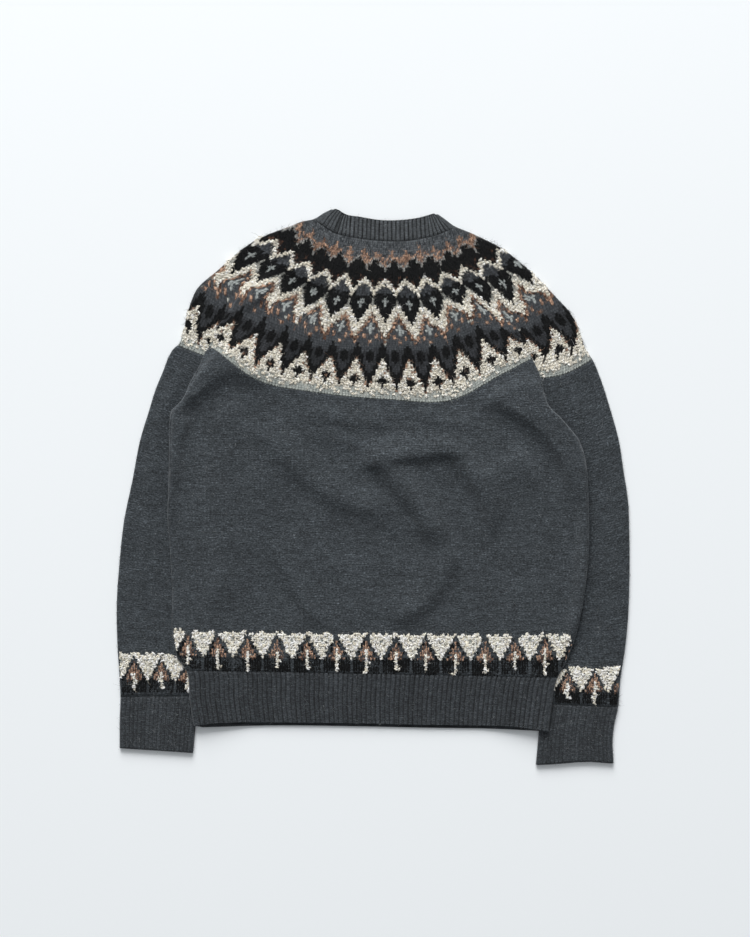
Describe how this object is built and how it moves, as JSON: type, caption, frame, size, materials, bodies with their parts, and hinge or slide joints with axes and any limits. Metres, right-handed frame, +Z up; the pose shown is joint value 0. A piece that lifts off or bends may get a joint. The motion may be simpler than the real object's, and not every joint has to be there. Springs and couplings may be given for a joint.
{
  "type": "yoke sweater",
  "caption": "Round-yoke knitted sweater lying flat on its front, its sleeves folded down under the body, with a ribbed neckband, cuffs and hem.",
  "frame": {"origin": "centre of the bounding box on the surface that the sweater lies on", "axes": "+Z up, out of the sweater's back; +Y from the hem towards the neck; +X towards the sweater's right sleeve"},
  "size_m": [0.6782, 0.7401, 0.0157],
  "materials": {
    "yoke_knit": "stranded knit in cream, charcoal, black and rust yarns",
    "body_knit": "fine melange stocking stitch, matt",
    "rib_knit": "melange rib, matt"
  },
  "bodies": {
    "root": {"yoke": "yoke_knit", "back_panel": "body_knit", "front_panel": "body_knit", "sleeve_left": "body_knit", "sleeve_right": "body_knit", "cuff_left": "rib_knit", "cuff_right": "rib_knit", "hem_rib": "rib_knit", "neckband": "rib_knit"}
  },
  "joints": []
}
